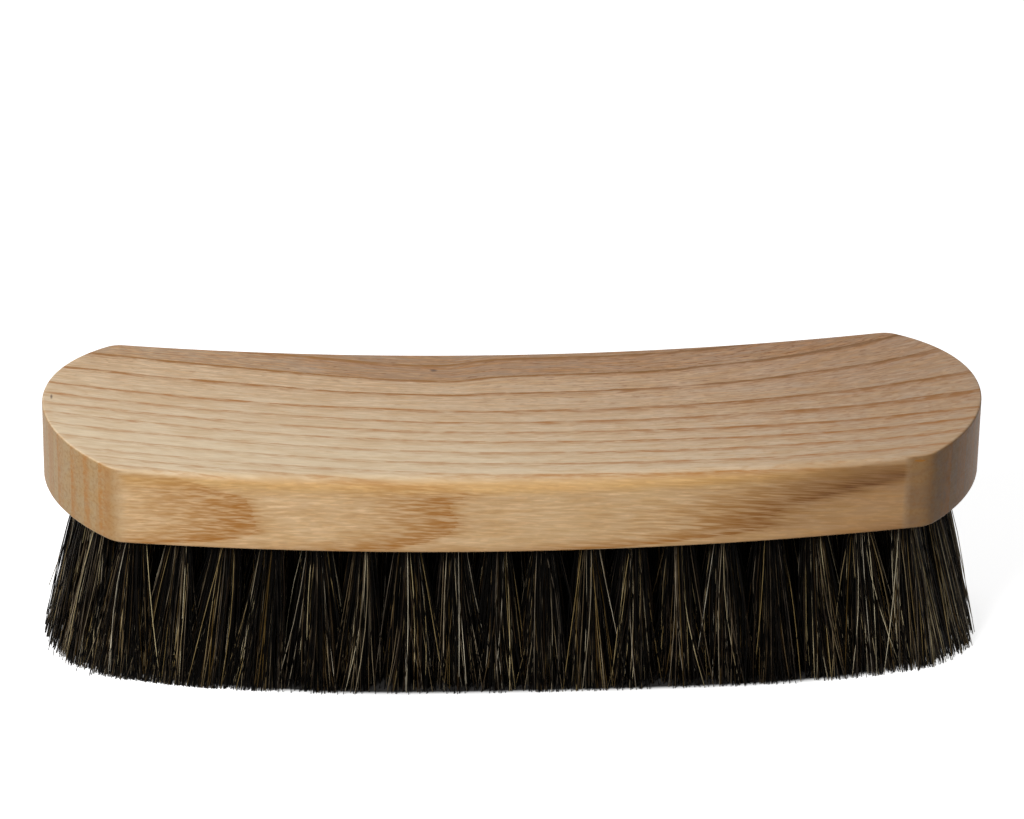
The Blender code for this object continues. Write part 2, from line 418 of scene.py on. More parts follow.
@dataclass(frozen=True)
class AshWood:
    """Ash, Fraxinus, planed, sanded and lightly oiled, pale with amber growth rings.

    The eye sees straw-coloured wood, thin brown lines of large pores where each ring begins, an
    amber blush beside them, and fine short dashes along the grain, with a soft satin gloss.
    """

    pale: str = "d4b895"
    pale_front: str = "ddc8a7"
    # Darker at the right end, on the top, the sides and the ends: partly the wood's own tone, partly painted
    # shade where the light falls off.
    pale_far: str = "b8997c"
    # The top is drawn paler and greyer than the sides: partly the grain, partly painted reflection standing
    # in for the top's sheen.
    side: str = "dcbb91"
    side_far: str = "905c24"
    end: str = "a98f68"
    end_far: str = "7f6346"
    heart: str = "806046"
    amber: str = "a0682a"
    gold: str = "b0823f"
    burnt: str = "5a3006"
    rim: str = "cfa15c"
    faint_line: str = "b8741c"
    line: str = "935f08"
    line_far: str = "7a4d0a"
    pore: str = "80501c"
    dark: str = "3f1f08"
    gloss: float = 0.35
    bump: float = 0.2
    bump_depth: float = 0.0001

    # Fibres of ash are far finer than this; drawn as coarse as the eye takes them in.
    fibres: Streaks = Streaks((20, 0.6, 0.6), 3.0, (0.36, 0.64, 0.0, 0.34))
    # Pores are 0.2 to 0.3 mm across; drawn twice as coarse, as they run together to the eye.
    pores: Streaks = Streaks((2.6, 0.45, 0.45))
    dashes: Streaks = Streaks((4.5, 0.7, 0.7))
    flecks: Streaks = Streaks((3.2, 0.6, 0.6), 2.0, (0.48, 0.62, 0.0, 0.2))
    clouds: Streaks = Streaks((9, 2.6, 2.6), 3.0, (0.4, 0.64, 0.0, 0.25))
    patches: Streaks = Streaks((9, 3, 3), 2.0, (0.36, 0.62, 0.6, 1.3))
    strokes: Streaks = Streaks((10, 0.4, 0.4), 2.5, (0.38, 0.62))
    fingers: Streaks = Streaks((20, 0.5, 0.5))
    # On the ends the pores show as dots, drawn coarse for the same reason, and the rings run down as
    # faint upright streaks.
    dots: Streaks = Streaks((2 / 3, 2 / 3, 2 / 3), 2.0, (0.48, 0.64, 0.0, 0.3))
    uprights: Streaks = Streaks((math.inf, 10 / 7, 100 / 3), 2.0, (0.42, 0.66, 0.0, 0.4))
    # The ring edges wander a little, slowly along the grain and finely across it, in ring widths.
    wanders: tuple[tuple[Streaks, float], ...] = ((Streaks((30, 6, 6)), 0.16), (Streaks((4, 0.8, 0.8)), 0.08))
    wander_middle: float = -0.12
    # A small knot behind the middle and a short drying check at the left end.
    marks: tuple[Mark, ...] = (
        Mark((-0.016, 0.0234, 0.0498), (0.0007, 0.0006, 0.003)),
        Mark((-0.0995, 0.0017, 0.0552), (0.00022, 0.001, 0.002)),
    )

    # Spans along X, then across Y, in metres.
    rightwards: Span = (-0.06, 0.075)
    whole_length: Span = (-0.1, 0.1)
    # Painted shade towards the right end, where the light falls off: in the heartwood's colour over the top,
    # and in the side's far colour over the sides.
    right_end_shade: Span = (0.04, 0.08, 0.0, 0.3)
    side_right_shade: Span = (0.03, 0.07, 0.0, 0.5)
    band_far: Span = (0.048, 0.079, 0.0, 0.62)
    rim_fading: Span = (0.04, 0.07, 0.6, 0.08)
    gilt_fading: Span = (0.055, 0.08, 0.3, 0.05)
    flame_far: Span = (0.03, 0.07)
    frontwards: Span = (0.012, -0.022)
    backwards: Span = (-0.032, 0.032)
    # Spans in ring numbers, millimetres in front of a ring's edge, millimetres down, and noise.
    heartwood: Span = (12.0, 12.02)
    last_ring: Span = (11.7, 11.95, 1.12, 1.7)
    ring_reach: Span = (0.0, 5.0)
    whole_depth: Span = (0.0, 17.0)
    line_breaks: Span = (0.36, 0.6, 0.45, 1.15)
    blush_breaks: Span = (0.38, 0.62, 0.15, 1.3)
    pore_span: Span = (0.0, 0.12, 0.0, 0.6)
    roughness: Span = (0.3, 0.7, 0.46, 0.6)

    line_stops: Stops = ((0.0, 1.0), (0.1, 0.95), (0.18, 0.5), (0.3, 0.0), (1.0, 0.0))
    blush_stops: Stops = ((0.0, 1.0), (0.14, 0.85), (0.28, 0.5), (0.45, 0.2), (0.65, 0.05), (1.0, 0.0))
    heart_stops: Stops = ((0.0, 0.5), (0.2, 0.5), (0.32, 0.7), (0.55, 0.68), (0.7, 0.5), (1.0, 0.45))
    band_stops: Stops = ((0.0, 0.35), (0.1, 0.7), (0.2, 1.0), (0.32, 0.7), (0.5, 0.3), (1.0, 0.25))
    # Painted shade: the lowest few millimetres of the sides turn darker amber.
    foot_shade_stops: Stops = ((0.0, 0.0), (0.82, 0.0), (0.96, 0.22), (1.0, 0.25))
    left_rings: Stops = ((0.0, 0.1), (0.2, 0.16), (0.45, 0.3), (0.62, 0.7), (0.78, 1.0), (1.0, 1.0))
    right_rings: Stops = ((0.0, 0.3), (0.2, 0.5), (0.45, 0.75), (0.62, 0.92), (0.78, 1.0), (1.0, 1.0))
    sharp_flame: Stops = (
        (0.0, 0.55), (0.05, 0.12), (0.12, 0.0), (0.4, 0.0), (0.62, 0.25), (0.8, 0.6), (0.93, 0.92), (1.0, 0.9)
    )
    soft_flame: Stops = (
        (0.0, 0.8), (0.07, 0.5), (0.16, 0.2), (0.3, 0.0), (0.45, 0.0), (0.65, 0.25), (0.85, 0.6), (1.0, 0.8)
    )

    flame_tilt: float = 0.07
    finger_middle: float = 0.5
    finger_reach: Slope = (0.12, 0.07)
    rim_fade: Slope = (-0.55, 1.0)
    gilt: float = 0.5
    burn: float = 0.65
    burn_far: Slope = (0.25, 0.35)
    front_fade: Slope = (-0.5, 1.0)
    end_fade: Slope = (-0.1, 1.0)
    end_rings: Slope = (0.35, 0.25)
    blush_gain: Slope = (0.55, 0.3)
    side_grain: float = 0.6
    grain: Slope = (0.8, 0.2)
    heart_grain: float = 0.6
    end_grain: Slope = (-0.7, 1.0)
    crowding: Slope = (-0.1, 0.62)
    crowding_far: float = -0.07
    pore_height: float = -0.6

    def ring_levels(self, add: Adder, read: Sockets, dash: Socket) -> list[Socket]:
        """Levels of the growth rings: the line of pores at each edge, and the blush in front of it.

        The wood grew towards the front, so the early wood of a ring lies in front of its edge.

        Args:
            add: Adds a node to the material.
            read: Sockets that the mesh gives, by name.
            dash: Socket of a noise that breaks both up.

        Returns:
            Sockets of the line's level and of the blush's.
        """
        share = add("FRACT", read["ring"])
        before = add("MULTIPLY", share, read["ring_width"])
        after = add("SUBTRACT", read["ring_width"], before)
        near = add("MapRange", after, *self.ring_reach)
        levels = []
        for stops, breaks in ((self.line_stops, self.line_breaks), (self.blush_stops, self.blush_breaks)):
            level = add("ValToRGB", near, stops=stops)
            broken = add("MapRange", dash, *breaks)
            levels.append(add("MULTIPLY", level, broken))
        return levels

    def ring_strength(self, add: Adder, read: Sockets) -> Socket:
        """Strength of the rings: darkest at the back, faint at the front left, and cut through on the ends.

        Args:
            add: Adds a node to the material.
            read: Sockets that the mesh gives, by name.

        Returns:
            Socket of the strength.
        """
        back = add("MapRange", read["y"], *self.backwards)
        left, right = (add("ValToRGB", back, stops=stops) for stops in (self.left_rings, self.right_rings))
        strength = add("Mix", {SHARE: read["right"], LEVEL_A: left, LEVEL_B: right})
        cut_through = add("MULTIPLY_ADD", read["right"], *self.end_rings)
        cut_through = add("MULTIPLY", cut_through, read["end"])
        return add("MAXIMUM", strength, cut_through)

    def flame_tone(self, add: Adder, read: Sockets, tone: Tone) -> Tone:
        """Lay the flames of the long sides over a tone: golden strokes, denser and darker up to each edge.

        Args:
            add: Adds a node to the material.
            read: Sockets that the mesh gives, by name.
            tone: Colour below.

        Returns:
            The colour.
        """
        lower = add("MULTIPLY_ADD", read["x"], self.flame_tilt, read["z"])
        tilted = add("CombineXYZ", read["x"], read["y"], lower)
        stroke = self.strokes.level(add, tilted)
        far = add("MapRange", read["x"], *self.flame_far)
        # Fingers of the noise push each edge to and fro.
        finger = add("SUBTRACT", self.fingers.noise(add, tilted), self.finger_middle)
        reach = add("MULTIPLY_ADD", far, *self.finger_reach)
        number = add("MULTIPLY_ADD", finger, reach, read["side_ring"])
        share = add("FRACT", number)
        sharp = add("ValToRGB", share, stops=self.sharp_flame)
        soft = add("ValToRGB", share, stops=self.soft_flame)
        level = add("Mix", {SHARE: far, LEVEL_A: sharp, LEVEL_B: soft})
        fade = add("MULTIPLY_ADD", read["rim"], *self.rim_fade)
        level = add("MULTIPLY", level, fade)
        gilt = add("MapRange", read["x"], *self.gilt_fading)
        gilt = add("MULTIPLY_ADD", level, self.gilt, gilt)
        burn = add("MULTIPLY_ADD", far, *self.burn_far)
        burn = add("MULTIPLY_ADD", stroke, self.burn, burn)
        brown = coat(add, self.amber, (self.burnt, far))
        side = read["side"]
        return coat(add, tone, (self.gold, gilt, stroke, side), (brown, burn, level, side))

    def broad_tone(self, add: Adder, read: Sockets) -> Tone:
        """Broad tones without any grain.

        Straw at the left and cream at the front, pinker and darker to the right, browner heartwood behind the
        last ring edge, more amber on the sides, and greyer on the ends. The darkening to the right, on the
        top, the sides and the ends, is partly the wood's tone and partly painted shade where the light falls
        off.
        The sides are more amber partly as flat-sawn faces and partly as painted reflection: the top is drawn
        paler and greyer in place of its sheen. Down the sides the lowest few millimetres are darker amber, as
        painted shade, and there is a brown band below the rim near the right corner.

        Args:
            add: Adds a node to the material.
            read: Sockets that the mesh gives, by name.

        Returns:
            The colour.
        """
        right, side = read["right"], read["side"]
        right_end_shade, side_far, band_far, rim_level, along = (
            add("MapRange", read["x"], *span)
            for span in (
                self.right_end_shade, self.side_right_shade, self.band_far, self.rim_fading, self.whole_length
            )
        )
        along = add("ValToRGB", along, stops=self.heart_stops)
        front = add("MapRange", read["y"], *self.frontwards)
        fade = add("MULTIPLY_ADD", right, *self.front_fade)
        down = add("MapRange", read["depth"], *self.whole_depth)
        band, foot = (add("ValToRGB", down, stops=stops) for stops in (self.band_stops, self.foot_shade_stops))
        return coat(
            add,
            self.pale,
            (self.pale_far, right),
            (self.pale_front, front, fade),
            (self.heart, read["heart"], along),
            # Painted shade towards the right end, in the heartwood's colour.
            (self.heart, right_end_shade),
            # The sides: more amber than the top, partly as flat-sawn faces and partly as painted reflection;
            # darker to the right as painted shade.
            (coat(add, self.side, (self.side_far, side_far)), side),
            # Painted shade: darker amber over the lowest few millimetres of the sides.
            (self.amber, foot, side),
            (self.burnt, band_far, band, side),
            (self.rim, read["rim"], rim_level),
            # The ends, darker at the right: partly the wood's tone, partly painted shade.
            (coat(add, self.end, (self.end_far, right)), read["end"]),
        )

    def readings(self, add: Adder) -> Sockets:
        """Read what the mesh stores, and work out the ring's number and how far right a point lies.

        Args:
            add: Adds a node to the material.

        Returns:
            Sockets by name: each attribute, "x", "y" and "z" in the grain, "right", "ring" and "heart".
        """
        names = ("growth", "ring_width", "side_ring", "side", "rim", "end", "depth")
        read = {name: add("Attribute", attribute_name=name).node.outputs["Fac"] for name in names}
        read["grain"] = add("Attribute", attribute_name="grain").node.outputs["Vector"]
        read.update(zip("xyz", add("SeparateXYZ", read["grain"]).node.outputs))
        ring = add("ADD", read["growth"], self.wander_middle)
        for streaks, width in self.wanders:
            ring = add("MULTIPLY_ADD", streaks.noise(add, read["grain"]), width, ring)
        read["ring"] = ring
        read["heart"] = add("MapRange", ring, *self.heartwood)
        read["right"] = add("MapRange", read["x"], *self.rightwards, interpolation_type="SMOOTHSTEP")
        return read

    def build(self) -> Material:
        """Make the material.

        Returns:
            The material, which reads the attributes "grain", "growth", "ring_width", "side_ring",
            "side", "rim", "end" and "depth".
        """
        material, add = start_material("oiled_ash_wood")
        read = self.readings(add)
        grain, right, side, end = (read[name] for name in ("grain", "right", "side", "end"))
        line, blush = self.ring_levels(add, read, self.dashes.noise(add, grain))
        strength = self.ring_strength(add, read)
        tone = self.broad_tone(add, read)

        # The rings are faint on the ends, and on the long sides the flames take their place. All come
        # and go, and the heartwood's edge is the darkest.
        times = partial(add, "MULTIPLY")
        flat = add("MULTIPLY_ADD", end, *self.end_fade)
        flat = times(flat, add("SUBTRACT", 1.0, side))
        last = add("MapRange", read["ring"], *self.last_ring)
        depth = reduce(times, (strength, self.patches.level(add, grain), flat, last))

        # The grain is roughest where the rings are strong, on the sides and in the heartwood.
        off_ends = add("MULTIPLY_ADD", end, *self.end_grain)
        rough = add("MAXIMUM", strength, times(side, self.side_grain))
        rough = add("MULTIPLY_ADD", rough, *self.grain)
        rough = add("MULTIPLY_ADD", read["heart"], self.heart_grain, rough)
        rough = times(rough, off_ends)

        # Golden clouds, fine fibres, light and dark flecks, the end grain, the blush and the flames.
        fibre = self.fibres.noise(add, grain)
        fibre_level = times(add("MapRange", fibre, *self.fibres.span), rough)
        tone = coat(add, tone, (self.gold, self.clouds.level(add, grain)), (self.amber, fibre_level))
        fleck = add("MULTIPLY_ADD", self.flecks.level(add, grain), rough, 1.0)
        tone = add("VectorMath", {"Vector": tone, "Scale": fleck}, operation="SCALE")
        tone = coat(
            add,
            tone,
            (self.pore, self.dots.level(add, grain), end),
            (self.amber, self.uprights.level(add, grain), end),
            (self.amber, blush, add("MULTIPLY_ADD", depth, *self.blush_gain), flat),
        )
        tone = self.flame_tone(add, read, tone)

        # Pores: dashes, close together just after a ring edge, sparse elsewhere, and more at the right.
        # Then the lines of the ring edges, and the single marks.
        crowd = add("MULTIPLY_ADD", blush, *self.crowding)
        crowd = add("MULTIPLY_ADD", right, self.crowding_far, crowd)
        over = add("SUBTRACT", self.pores.noise(add, grain), crowd)
        pore_level = reduce(times, (add("MapRange", over, *self.pore_span), rough, flat, off_ends))
        pore_tone = coat(add, self.faint_line, (self.pore, strength))
        line_tone = coat(add, self.line, (self.line_far, right))
        line_tone = coat(add, self.faint_line, (line_tone, strength))
        place = add("TexCoord").node.outputs["Object"]
        marks = ((self.dark, mark.level(add, place)) for mark in self.marks)
        tone = coat(add, tone, (pore_tone, pore_level), (line_tone, line, depth), *marks)

        height = add("MULTIPLY_ADD", pore_level, self.pore_height, fibre_level)
        bump = add("Bump", {"Height": height, "Strength": self.bump, "Distance": self.bump_depth})
        sheen = add("MapRange", fibre, *self.roughness)
        surface = {"Base Color": tone, "Normal": bump, "Roughness": sheen, "Specular IOR Level": self.gloss}
        feed(material.node_tree.nodes["Principled BSDF"], surface)
        return material


@dataclass(frozen=True)
class Horsehair:
    """Horse tail hair, washed and mixed: mostly black-brown, with brown, tan and grey hairs among it.

    The eye sees near-black tufts with single lighter hairs, each with a soft streak of gloss.
    """

    shades: Stops = (
        (0.0, "040302"),
        (0.42, "0b0805"),
        (0.56, "2c2013"),
        (0.72, "64502f"),
        (0.88, "98845c"),
        (1.0, "cdbd95"),
    )
    # A hair's shade drifts a little every few millimetres.
    uneven: Streaks = Streaks((50 / 13, 50 / 13, 50 / 13), 1.0, (0.3, 0.7, -0.05, 0.05))
    # Towards its tip a hair is drawn up to 1.6 times lighter: partly the paler worn tips, partly painted
    # light for the light that hardly reaches them.
    tip_gain: Span = (0.5, 1.0, 1.0, 1.6)
    roughness: float = 0.42
    gloss: float = 0.05

    def build(self) -> Material:
        """Make the material.

        Returns:
            The material, which reads the attributes "shade", "warmth" and "tip" of each hair.
        """
        material, add = start_material("mixed_horsehair")
        shade, warmth, tip = (
            add("Attribute", attribute_name=name).node.outputs["Fac"]
            for name in ("shade", "warmth", "tip")
        )
        uneven = self.uneven.level(add, add("TexCoord").node.outputs["Object"])
        shade = add("ADD", shade, uneven, use_clamp=True)
        colour = add("ValToRGB", shade, stops=self.shades)
        colour = add("HueSaturation", {"Color": colour, "Saturation": warmth})
        # Lighter towards the tips: partly the hair's worn tips, partly painted light.
        gain = add("MapRange", tip, *self.tip_gain)
        colour = add("VectorMath", {"Vector": colour, "Scale": gain}, operation="SCALE")
        surface = {"Base Color": colour, "Roughness": self.roughness, "Specular IOR Level": self.gloss}
        feed(material.node_tree.nodes["Principled BSDF"], surface)
        return material


@dataclass(frozen=True)
class Saddle:
    """Curve that the block is bent to: its ends stand higher than its middle by the rise."""

    length: float = 0.203
    rise: float = 0.0057

    @property
    def radius(self) -> float:
        """Radius of the curve."""
        return ((self.length / 2) ** 2 + self.rise**2) / (2 * self.rise)

    def lift(self, x: Floats) -> Floats:
        """Height of the curve over its middle, as an arc of the radius."""
        return self.radius - np.sqrt(self.radius**2 - x**2)


@dataclass(frozen=True)
class TuftField:
    """Where the tufts stand: staggered rows, each with its tufts spread evenly between the ends."""

    side_rows: int = 3
    row_pitch: float = 0.00825
    tuft_pitch: float = 0.0092
    reach: float = 0.091
    end_centre: float = 0.0525
    end_radius: float = 0.0385
    hole_radius: float = 0.0027
    hole_depth: float = 0.005

    def rows(self) -> list[tuple[int, float, Floats]]:
        """Place the tufts of each row, from the front one.

        Returns:
            Number, y and tuft places of each row.
        """
        middle = round(2 * self.reach / self.tuft_pitch) + 1
        found = []
        for row in range(-self.side_rows, self.side_rows + 1):
            y = row * self.row_pitch
            reach = self.end_centre + math.sqrt(self.end_radius**2 - y**2)
            found.append((row + self.side_rows + 1, y, np.linspace(-reach, reach, middle - abs(row))))
        return found

    def sections(self) -> list[tuple[str, float, Floats]]:
        """Part each row into its sections.

        Returns:
            CAD node name, y and tuft places of each section.
        """
        found = []
        for number, y, places in self.rows():
            side = round(len(places) / len(Section))
            groups = np.split(places, (side, len(places) - side))
            for section, group in zip(Section, groups):
                found.append((f"tufts_row_{number}_{section.value}", y, group))
        return found


@dataclass(frozen=True)
class WoodenBlock:
    """The block: saddle-curved, with bulging ends, a round-over along the top front and drilled holes."""

    saddle: Saddle
    tufts: TuftField
    width: float = 0.0635
    thickness: float = 0.0172
    underside: float = 0.0325
    end_bulge: float = 0.0154
    corner_radius: float = 0.0055
    top_rounding: float = 0.0036
    edge_ease: float = 0.0005
    drill_overrun: float = 0.004
    sharp_angle: float = 35
    straight_normal: float = 0.999
    outline_step: float = 0.0009
    corner_points: int = 12
    edge_rings: int = 5
    wall_rings: int = 14
    rounding_rings: int = 9
    flat_rings: int = 24
    hole_sides: int = 24
    # Zones of the grain in millimetres: down from the top, in from a side, and past a plan corner,
    # where the end grain begins. At the right it begins a little before the corner.
    side_down: Span = (0.1, 1.8)
    side_in: Span = (4, 1)
    rim_down: Span = (2.2, 4.5)
    end_down: Span = (0.02, 0.35)
    end_right: Span = (-3.8, -2)
    end_left: Span = (-1, 3)

    @property
    def top(self) -> float:
        """Height of the top at mid length."""
        return self.underside + self.thickness

    @property
    def end_radius(self) -> float:
        """Radius of the bulging end in plan, from its chord and bulge."""
        return ((self.width / 2) ** 2 + self.end_bulge**2) / (2 * self.end_bulge)

    @property
    def end_centre(self) -> float:
        """Distance of the centre of a bulging end from mid length."""
        return self.saddle.length / 2 - self.end_radius

    @property
    def corner_x(self) -> float:
        """Distance of the centre of a plan corner from mid length."""
        corner_y = self.width / 2 - self.corner_radius
        return self.end_centre + math.sqrt((self.end_radius - self.corner_radius) ** 2 - corner_y**2)

    def quarter(self) -> tuple[Floats, Floats]:
        """Outline of the quarter with x and y above zero: half a side, a corner and half an end.

        Returns:
            Points along it, and the outward normal at each.
        """
        half_width = self.width / 2
        corner_y = half_width - self.corner_radius
        join = math.atan2(corner_y, self.corner_x - self.end_centre)
        straight = np.linspace(0, self.corner_x, round(self.corner_x / self.outline_step))[:-1]
        corner = np.linspace(math.pi / 2, join, self.corner_points)[:-1]
        end = np.linspace(join, 0, round(join * self.end_radius / self.outline_step))
        side_points = np.stack([straight, np.full_like(straight, half_width)], 1)
        side_normals = np.tile((0.0, 1.0), (len(straight), 1))
        corner_normals, end_normals = (np.stack([np.cos(turn), np.sin(turn)], 1) for turn in (corner, end))
        corner_points = np.array([self.corner_x, corner_y]) + self.corner_radius * corner_normals
        end_points = np.array([self.end_centre, 0.0]) + self.end_radius * end_normals
        points = np.concatenate([side_points, corner_points, end_points])
        return points, np.concatenate([side_normals, corner_normals, end_normals])

    def outline(self) -> tuple[Floats, Floats]:
        """Whole outline in plan, out of four mirrored quarters, clockwise seen from above.

        Returns:
            Points along it, and the outward normal at each.
        """
        flip = np.array([1.0, -1.0])
        right = [np.concatenate([a, (a * flip)[::-1][1:]]) for a in self.quarter()]
        points, normals = (np.concatenate([a, -a[1:-1]]) for a in right)
        return points, normals

    def rounding(self, x: Floats, normal_y: Floats) -> Floats:
        """Radius of the top edge, fullest at mid length of the front and fading out to its corners."""
        growth = (self.top_rounding - self.edge_ease) * np.clip(1 - (x / self.corner_x) ** 2, 0, 1)
        return self.edge_ease + np.where(normal_y < -self.straight_normal, growth, 0)

    def shell(self) -> tuple[Floats, Faces]:
        """Closed surface of the straight block, then lifted along the saddle.

        Rings run round the outline. From the middle of the underside they widen to the edge, turn up
        a quarter circle, climb the wall, turn in over the rounding and close on the middle of the top.
        A ring is the outline, set in along its normals and then drawn a share of the way to the spine.

        Returns:
            Points and four-cornered faces.
        """
        outline, normals = self.outline()
        count = len(outline)
        spine = np.stack([np.clip(outline[:, 0], -self.end_centre, self.end_centre), np.zeros(count)], 1)
        ease, round_over = self.edge_ease, self.rounding(outline[:, 0], normals[:, 1])
        low, high = self.underside + ease, self.top - round_over
        flat = np.linspace(1, 0, self.flat_rings + 1)[:, None]
        climb = np.linspace(0, 1, self.wall_rings + 1)[1:, None]
        turn, over = (
            np.linspace(0, math.pi / 2, steps + 1)[1:, None]
            for steps in (self.edge_rings, self.rounding_rings)
        )
        # Inset, share of the way to the spine and height of the rings, group by group.
        groups = (
            (ease, flat, self.underside),
            (ease * (1 - np.sin(turn)), 0, self.underside + ease * (1 - np.cos(turn))),
            (0, 0, low + (high - low) * climb),
            (round_over * (1 - np.cos(over)), 0, high + round_over * np.sin(over)),
            (round_over, flat[::-1][1:], self.top),
        )
        rings = []
        for group in groups:
            inset, to_spine, height, _ = (a[..., None] for a in np.broadcast_arrays(*group, np.zeros(count)))
            plan = outline - normals * inset
            rings.append(np.concatenate([plan + (spine - plan) * to_spine, height], 2))
        points = np.concatenate(rings)
        points[..., 2] += self.saddle.lift(points[..., 0])
        ring, at = np.meshgrid(np.arange(len(points) - 1), np.arange(count), indexing="ij")
        after = (at + 1) % count
        here, above = ring * count, (ring + 1) * count
        corners = [here + at, above + at, above + after, here + after]
        return points.reshape(-1, 3), np.stack(corners, -1).reshape(-1, 4)

    def drills(self) -> tuple[Floats, Faces]:
        """Drill of every tuft hole, square to the curved underside.

        Each drill is a prism from below the underside to the hole's depth, closed by fans of triangles.

        Returns:
            Points and triangles.
        """
        places = np.array([(x, y) for _, y, row in self.tufts.rows() for x in row])
        angles = np.linspace(0, 2 * math.pi, self.hole_sides, endpoint=False)
        circle = self.tufts.hole_radius * np.stack([np.cos(angles), np.sin(angles)], 1)
        circle = np.concatenate([circle, [[0.0, 0.0]]])
        step = len(circle)
        levels = []
        for below in (self.drill_overrun, -self.tufts.hole_depth):
            centre_x = places[:, 0] * (1 + below / self.saddle.radius)
            height = self.underside - below + self.saddle.lift(places[:, 0])
            ring = np.repeat(np.column_stack([centre_x, places[:, 1], height])[:, None], step, axis=1)
            ring[:, :, :2] += circle
            levels.append(ring)
        near = np.arange(self.hole_sides)
        far = (near + 1) % self.hole_sides
        middle = np.full_like(near, self.hole_sides)
        faces = np.concatenate(
            [
                np.stack([near, far, far + step], 1),
                np.stack([near, far + step, near + step], 1),
                np.stack([middle, far, near], 1),
                np.stack([middle, near, far], 1) + step,
            ]
        )
        faces = faces[None] + np.arange(len(places))[:, None, None] * 2 * step
        return np.stack(levels, 1).reshape(-1, 3), faces.reshape(-1, 3)

    def drilled(self) -> Piece:
        """Make the block with its holes cut out.

        Returns:
            One closed piece with smooth faces and sharp edges.
        """
        block = add_piece("ash_block", *self.shell())
        drill = add_piece("drills", *self.drills())
        shape = bmesh.new()
        for made in (block, drill):
            shape.from_mesh(made.data)
            bmesh.ops.remove_doubles(shape, verts=shape.verts, dist=MERGE_DISTANCE)
            bmesh.ops.recalc_face_normals(shape, faces=shape.faces)
            shape.to_mesh(made.data)
            shape.clear()
        shape.free()
        cut = block.modifiers.new("holes", "BOOLEAN")
        cut.operation = "DIFFERENCE"
        cut.solver = "EXACT"
        cut.object = drill
        graph = bpy.context.evaluated_depsgraph_get()
        block.data = bpy.data.meshes.new_from_object(block.evaluated_get(graph))
        block.modifiers.clear()
        bpy.data.objects.remove(drill)
        block.data.shade_smooth()
        block.data.set_sharp_from_angle(angle=math.radians(self.sharp_angle))
        return block

    def build(self, wood: Material, rings: GrowthRings, flames: SideFlames) -> None:
        """Make the block, and write where each vertex lies in the grain.

        Args:
            wood: Material of the block.
            rings: Growth rings of the board.
            flames: Flames of its long sides.
        """
        block = self.drilled()
        points = np.empty(len(block.data.vertices) * 3)
        block.data.vertices.foreach_get("co", points)
        points = points.reshape(-1, 3)
        x, y = points[:, 0] / MM, points[:, 1] / MM
        below = (self.top + self.saddle.lift(points[:, 0]) - points[:, 2]) / MM
        place = rings.across(x, y)
        edges = np.array(rings.edges)
        number = np.interp(place, edges, np.arange(len(edges)))
        widths = np.diff(edges)[np.clip(number.astype(int), 0, len(edges) - 2)]
        from_side = self.width / 2 / MM - np.abs(y)
        from_corner = np.abs(x) - self.corner_x / MM
        right, left = (smooth_step(from_corner, *zone) for zone in (self.end_right, self.end_left))
        at_end = np.where(x > 0, right, left)
        side = smooth_step(below, *self.side_down) * smooth_step(from_side, *self.side_in) * (1 - at_end)
        stored = {
            "growth": number,
            "ring_width": widths,
            "side_ring": flames.number(np.where(y > 0, -x, x), below),
            "side": side,
            "rim": side * (1 - smooth_step(below, *self.rim_down)),
            "end": smooth_step(below, *self.end_down) * at_end,
            "depth": below,
            "grain": np.column_stack([points[:, 0], place * MM, points[:, 2]]),
        }
        for name, values in stored.items():
            set_attribute(block, name, values)
        dress(block, wood, Slot.WOOD, "block")


@dataclass(frozen=True)
class Sole:
    """Outline of the trimmed tips on the floor: an ellipse with blunt corners, blunter at the right.

    A point's gauge is the n-th root of (x / half length) to the n plus (y / half width) to the n,
    which is one on the outline.
    """

    half_length: float = 0.1035
    half_width: float = 0.0345
    left_power: float = 2.5
    right_power: float = 3.5
    blend: float = 0.05
    free: float = 0.92

    def pull(self, x: Floats, y: Floats) -> tuple[Floats, Floats]:
        """Work out how far tips are drawn in: not at all inside the free share, never past the outline.

        The way is along the slope of the gauge, and its length eases in as a hyperbolic tangent.

        Args:
            x: Place of the tips along the brush.
            y: Place of the tips across it.

        Returns:
            Shift along x and along y.
        """
        right_share = np.clip(x / self.blend / 2 + 0.5, 0, 1)
        blunt = self.left_power + (self.right_power - self.left_power) * right_share
        along, across = np.abs(x) / self.half_length, np.abs(y) / self.half_width
        total = np.maximum(along**blunt + across**blunt, TINY)
        gauge = total ** (1 / blunt)
        slope = total ** (1 / blunt - 1)
        slope_x = slope * along ** (blunt - 1) / self.half_length * np.sign(x)
        slope_y = slope * across ** (blunt - 1) / self.half_width * np.sign(y)
        room = 1 - self.free
        over = np.clip(gauge - self.free, 0, None)
        step = (over - room * np.tanh(over / room)) / (slope_x**2 + slope_y**2)
        return -step * slope_x, -step * slope_y

    def gauge(self, add: Adder, place: Socket, grown: tuple[float, float]) -> Socket:
        """Gauge of a point of the floor, for the outline moved out at its ends and its sides.

        Args:
            add: Adds a node to the floor's material.
            place: Socket of the point.
            grown: Lengths that the outline is moved out by, at its ends and its sides.

        Returns:
            Socket of the gauge, which is one on the outline.
        """
        rate = (1 / (self.half_length + grown[0]), 1 / (self.half_width + grown[1]), 0.0)
        shares = add("VectorMath", place, rate, operation="MULTIPLY")
        shares = add("VectorMath", shares, operation="ABSOLUTE")
        x = add("SeparateXYZ", place)
        blunt = add("MapRange", x, -self.blend, self.blend, self.left_power, self.right_power)
        shares = add("SeparateXYZ", shares).node.outputs
        along, across = (add("POWER", share, blunt) for share in shares[:2])
        total = add("ADD", along, across)
        root = add("DIVIDE", 1.0, blunt)
        return add("POWER", total, root)


